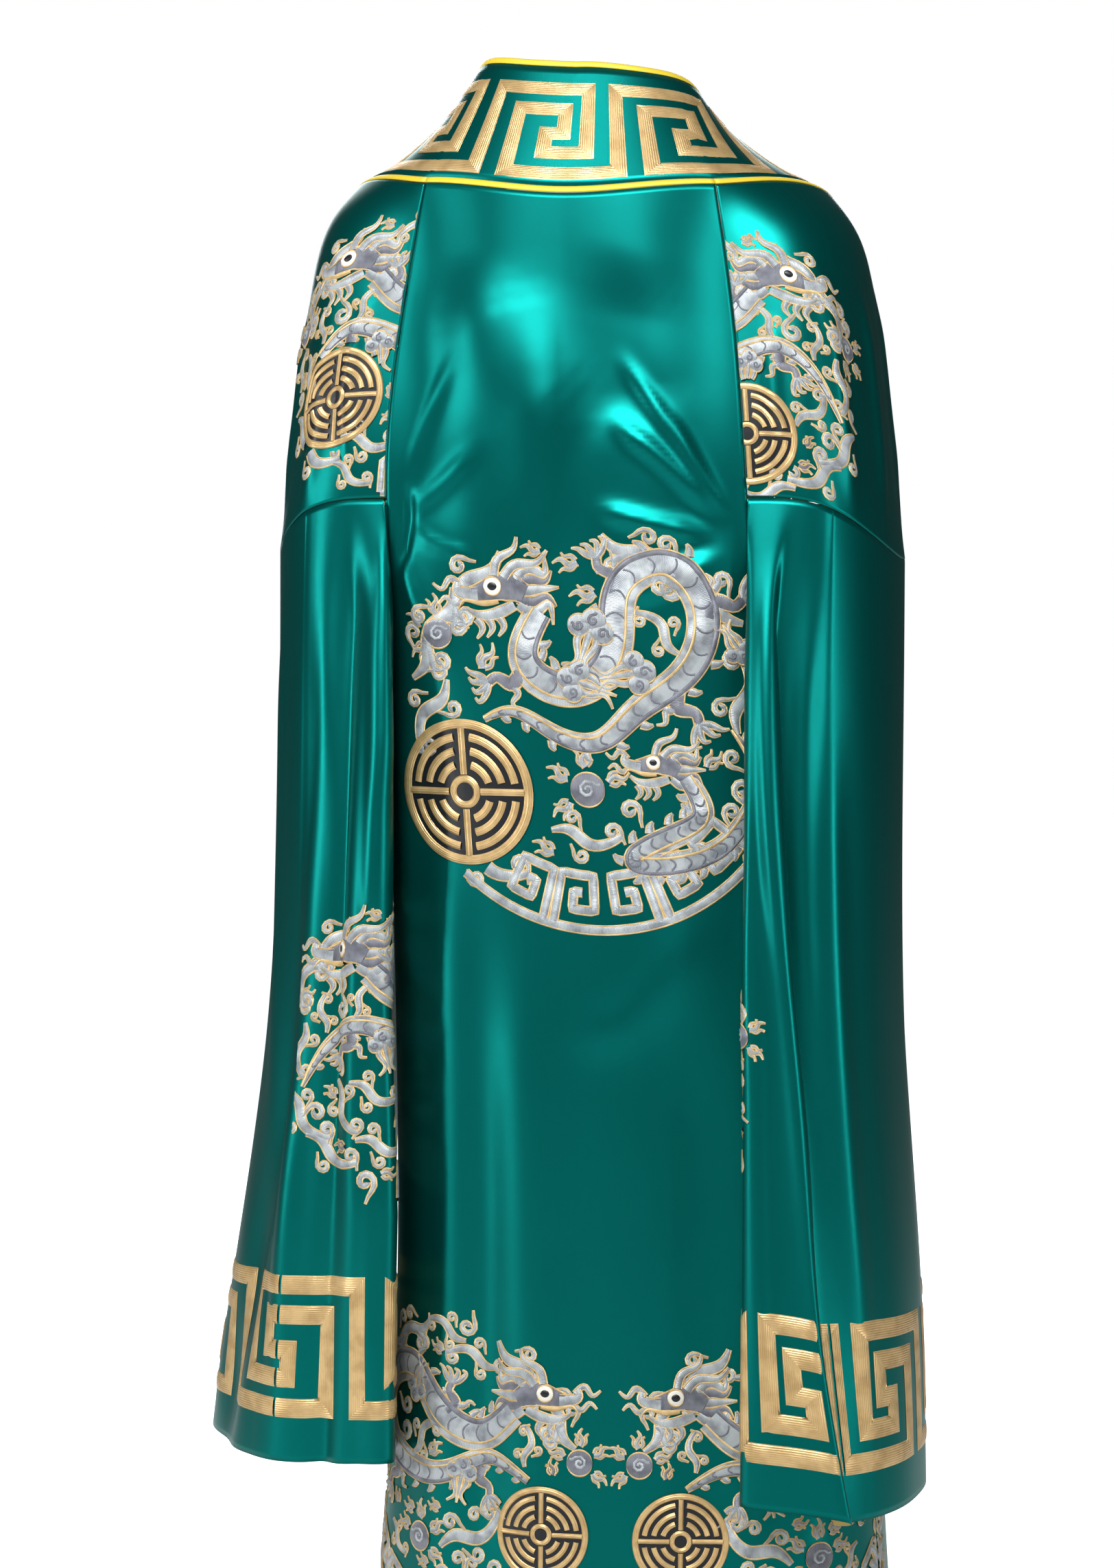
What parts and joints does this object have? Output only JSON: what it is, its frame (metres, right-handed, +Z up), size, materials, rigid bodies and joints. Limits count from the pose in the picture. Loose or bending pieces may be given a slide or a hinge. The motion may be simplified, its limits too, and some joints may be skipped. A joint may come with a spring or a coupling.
{
  "type": "worn kimono robe",
  "caption": "Floor-length satin kimono robe with a wide stand-away collar band and long wide hanging sleeves, held in its worn form.",
  "frame": {"origin": "between the shoulders, at the height of the collar band's lower edge at the back", "axes": "+Z up towards the neck, +X towards the wearer's left sleeve, +Y out of the back"},
  "size_m": [0.6978, 0.3937, 1.6119],
  "materials": {
    "green_satin": "satin weave with a soft sheen",
    "yellow_piping": "flat woven trim",
    "pale_lining": "plain weave"
  },
  "bodies": {
    "root": {"back": "green_satin", "front_left": "green_satin", "front_right": "green_satin", "sleeve_upper_left": "green_satin", "sleeve_upper_right": "green_satin", "sleeve_lower_left": "green_satin", "sleeve_lower_right": "green_satin", "collar_band": "green_satin", "piping_neck": "yellow_piping", "piping_back": "yellow_piping", "piping_left": "yellow_piping", "piping_right": "yellow_piping", "cuff_lining_left": "pale_lining", "cuff_lining_right": "pale_lining"}
  },
  "joints": []
}
